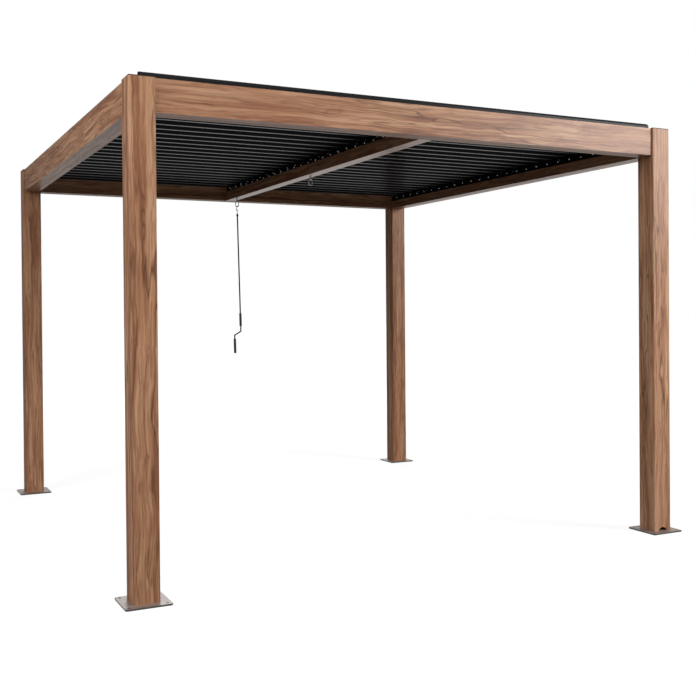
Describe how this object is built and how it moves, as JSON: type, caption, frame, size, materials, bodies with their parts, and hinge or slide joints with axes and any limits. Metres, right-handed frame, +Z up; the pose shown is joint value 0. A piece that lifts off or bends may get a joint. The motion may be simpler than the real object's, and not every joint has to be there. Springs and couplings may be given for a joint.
{
  "type": "louvered pergola",
  "caption": "Free-standing square pergola: hollow posts on base plates, a beam frame with a centre beam, two banks of tilting roof blades on pivot pins and a hanging crank.",
  "frame": {"origin": "centre of the footprint, on the ground", "axes": "+Z up, -Y the front, +X to the right seen from the front; the blades run along X"},
  "size_m": [3.138, 3.138, 2.292],
  "materials": {
    "wood_grain": "satin wood-grain coating on aluminium",
    "black_frame": "satin black",
    "blade_black": "gloss black",
    "steel": "zinc plated",
    "grip_black": "matte"
  },
  "bodies": {
    "frame": {"post_front_left": "wood_grain", "post_front_right": "wood_grain", "post_back_left": "wood_grain", "post_back_right": "wood_grain", "plate_front_left": "wood_grain", "plate_front_right": "wood_grain", "plate_back_left": "wood_grain", "plate_back_right": "wood_grain", "beam_front": "wood_grain", "beam_back": "wood_grain", "beam_left": "wood_grain", "beam_right": "wood_grain", "beam_centre": "wood_grain", "rail_left": "black_frame", "rail_right": "black_frame", "rail_centre": "black_frame", "cap_front_left": "black_frame", "cap_front_right": "black_frame", "cap_back_left": "black_frame", "cap_back_right": "black_frame"},
    "row_01": {"blade_01": "blade_black"},
    "row_02": {"blade_02": "blade_black"},
    "row_03": {"blade_03": "blade_black"},
    "row_04": {"blade_04": "blade_black"},
    "row_05": {"blade_05": "blade_black"},
    "row_06": {"blade_06": "blade_black"},
    "row_07": {"blade_07": "blade_black"},
    "row_08": {"blade_08": "blade_black"},
    "row_09": {"blade_09": "blade_black"},
    "row_10": {"blade_10": "blade_black"},
    "row_11": {"blade_11": "blade_black"},
    "row_12": {"blade_12": "blade_black"},
    "row_13": {"blade_13": "blade_black"},
    "row_14": {"blade_14": "blade_black"},
    "row_15": {"blade_15": "blade_black"},
    "row_16": {"blade_16": "blade_black"},
    "row_17": {"blade_17": "blade_black"},
    "row_18": {"blade_18": "blade_black"},
    "row_19": {"blade_19": "blade_black"},
    "row_20": {"blade_20": "blade_black"},
    "row_21": {"blade_21": "blade_black"},
    "row_22": {"blade_22": "blade_black"},
    "row_23": {"blade_23": "blade_black"},
    "crank": {"crank_eye": "steel", "crank_hook": "steel", "crank_rod": "black_frame", "crank_sleeve": "grip_black", "crank_grip": "grip_black"},
    "spare_eye": {"spare_eye": "steel"}
  },
  "joints": [
    {"name": "blade_tilt", "type": "hinge", "parent": "frame", "child": "row_01", "pos_m": [0, -1.34054, 2.188], "axis": [-1, 0, 0], "range_deg": [0, 90]},
    {"name": "blade_tilt_02", "type": "hinge", "parent": "frame", "child": "row_02", "pos_m": [0, -1.21867, 2.188], "axis": [-1, 0, 0], "range_deg": [0, 90]},
    {"name": "blade_tilt_03", "type": "hinge", "parent": "frame", "child": "row_03", "pos_m": [0, -1.0968, 2.188], "axis": [-1, 0, 0], "range_deg": [0, 90]},
    {"name": "blade_tilt_04", "type": "hinge", "parent": "frame", "child": "row_04", "pos_m": [0, -0.97493, 2.188], "axis": [-1, 0, 0], "range_deg": [0, 90]},
    {"name": "blade_tilt_05", "type": "hinge", "parent": "frame", "child": "row_05", "pos_m": [0, -0.85307, 2.188], "axis": [-1, 0, 0], "range_deg": [0, 90]},
    {"name": "blade_tilt_06", "type": "hinge", "parent": "frame", "child": "row_06", "pos_m": [0, -0.7312, 2.188], "axis": [-1, 0, 0], "range_deg": [0, 90]},
    {"name": "blade_tilt_07", "type": "hinge", "parent": "frame", "child": "row_07", "pos_m": [0, -0.60933, 2.188], "axis": [-1, 0, 0], "range_deg": [0, 90]},
    {"name": "blade_tilt_08", "type": "hinge", "parent": "frame", "child": "row_08", "pos_m": [0, -0.48747, 2.188], "axis": [-1, 0, 0], "range_deg": [0, 90]},
    {"name": "blade_tilt_09", "type": "hinge", "parent": "frame", "child": "row_09", "pos_m": [0, -0.3656, 2.188], "axis": [-1, 0, 0], "range_deg": [0, 90]},
    {"name": "blade_tilt_10", "type": "hinge", "parent": "frame", "child": "row_10", "pos_m": [0, -0.24373, 2.188], "axis": [-1, 0, 0], "range_deg": [0, 90]},
    {"name": "blade_tilt_11", "type": "hinge", "parent": "frame", "child": "row_11", "pos_m": [0, -0.12187, 2.188], "axis": [-1, 0, 0], "range_deg": [0, 90]},
    {"name": "blade_tilt_12", "type": "hinge", "parent": "frame", "child": "row_12", "pos_m": [0, 0, 2.188], "axis": [-1, 0, 0], "range_deg": [0, 90]},
    {"name": "blade_tilt_13", "type": "hinge", "parent": "frame", "child": "row_13", "pos_m": [0, 0.12187, 2.188], "axis": [-1, 0, 0], "range_deg": [0, 90]},
    {"name": "blade_tilt_14", "type": "hinge", "parent": "frame", "child": "row_14", "pos_m": [0, 0.24373, 2.188], "axis": [-1, 0, 0], "range_deg": [0, 90]},
    {"name": "blade_tilt_15", "type": "hinge", "parent": "frame", "child": "row_15", "pos_m": [0, 0.3656, 2.188], "axis": [-1, 0, 0], "range_deg": [0, 90]},
    {"name": "blade_tilt_16", "type": "hinge", "parent": "frame", "child": "row_16", "pos_m": [0, 0.48747, 2.188], "axis": [-1, 0, 0], "range_deg": [0, 90]},
    {"name": "blade_tilt_17", "type": "hinge", "parent": "frame", "child": "row_17", "pos_m": [0, 0.60933, 2.188], "axis": [-1, 0, 0], "range_deg": [0, 90]},
    {"name": "blade_tilt_18", "type": "hinge", "parent": "frame", "child": "row_18", "pos_m": [0, 0.7312, 2.188], "axis": [-1, 0, 0], "range_deg": [0, 90]},
    {"name": "blade_tilt_19", "type": "hinge", "parent": "frame", "child": "row_19", "pos_m": [0, 0.85307, 2.188], "axis": [-1, 0, 0], "range_deg": [0, 90]},
    {"name": "blade_tilt_20", "type": "hinge", "parent": "frame", "child": "row_20", "pos_m": [0, 0.97493, 2.188], "axis": [-1, 0, 0], "range_deg": [0, 90]},
    {"name": "blade_tilt_21", "type": "hinge", "parent": "frame", "child": "row_21", "pos_m": [0, 1.0968, 2.188], "axis": [-1, 0, 0], "range_deg": [0, 90]},
    {"name": "blade_tilt_22", "type": "hinge", "parent": "frame", "child": "row_22", "pos_m": [0, 1.21867, 2.188], "axis": [-1, 0, 0], "range_deg": [0, 90]},
    {"name": "blade_tilt_23", "type": "hinge", "parent": "frame", "child": "row_23", "pos_m": [0, 1.34054, 2.188], "axis": [-1, 0, 0], "range_deg": [0, 90]},
    {"name": "crank_spin", "type": "hinge", "parent": "frame", "child": "crank", "pos_m": [0, 1.28, 2.1], "axis": [0, 0, 1], "continuous": true},
    {"name": "spare_eye_spin", "type": "hinge", "parent": "frame", "child": "spare_eye", "pos_m": [0, -0.04, 2.1], "axis": [0, 0, 1], "continuous": true}
  ],
  "couplings": [
    {"joint": "blade_tilt_02", "follows": "blade_tilt", "ratio": 1},
    {"joint": "blade_tilt_03", "follows": "blade_tilt", "ratio": 1},
    {"joint": "blade_tilt_04", "follows": "blade_tilt", "ratio": 1},
    {"joint": "blade_tilt_05", "follows": "blade_tilt", "ratio": 1},
    {"joint": "blade_tilt_06", "follows": "blade_tilt", "ratio": 1},
    {"joint": "blade_tilt_07", "follows": "blade_tilt", "ratio": 1},
    {"joint": "blade_tilt_08", "follows": "blade_tilt", "ratio": 1},
    {"joint": "blade_tilt_09", "follows": "blade_tilt", "ratio": 1},
    {"joint": "blade_tilt_10", "follows": "blade_tilt", "ratio": 1},
    {"joint": "blade_tilt_11", "follows": "blade_tilt", "ratio": 1},
    {"joint": "blade_tilt_12", "follows": "blade_tilt", "ratio": 1},
    {"joint": "blade_tilt_13", "follows": "blade_tilt", "ratio": 1},
    {"joint": "blade_tilt_14", "follows": "blade_tilt", "ratio": 1},
    {"joint": "blade_tilt_15", "follows": "blade_tilt", "ratio": 1},
    {"joint": "blade_tilt_16", "follows": "blade_tilt", "ratio": 1},
    {"joint": "blade_tilt_17", "follows": "blade_tilt", "ratio": 1},
    {"joint": "blade_tilt_18", "follows": "blade_tilt", "ratio": 1},
    {"joint": "blade_tilt_19", "follows": "blade_tilt", "ratio": 1},
    {"joint": "blade_tilt_20", "follows": "blade_tilt", "ratio": 1},
    {"joint": "blade_tilt_21", "follows": "blade_tilt", "ratio": 1},
    {"joint": "blade_tilt_22", "follows": "blade_tilt", "ratio": 1},
    {"joint": "blade_tilt_23", "follows": "blade_tilt", "ratio": 1}
  ]
}
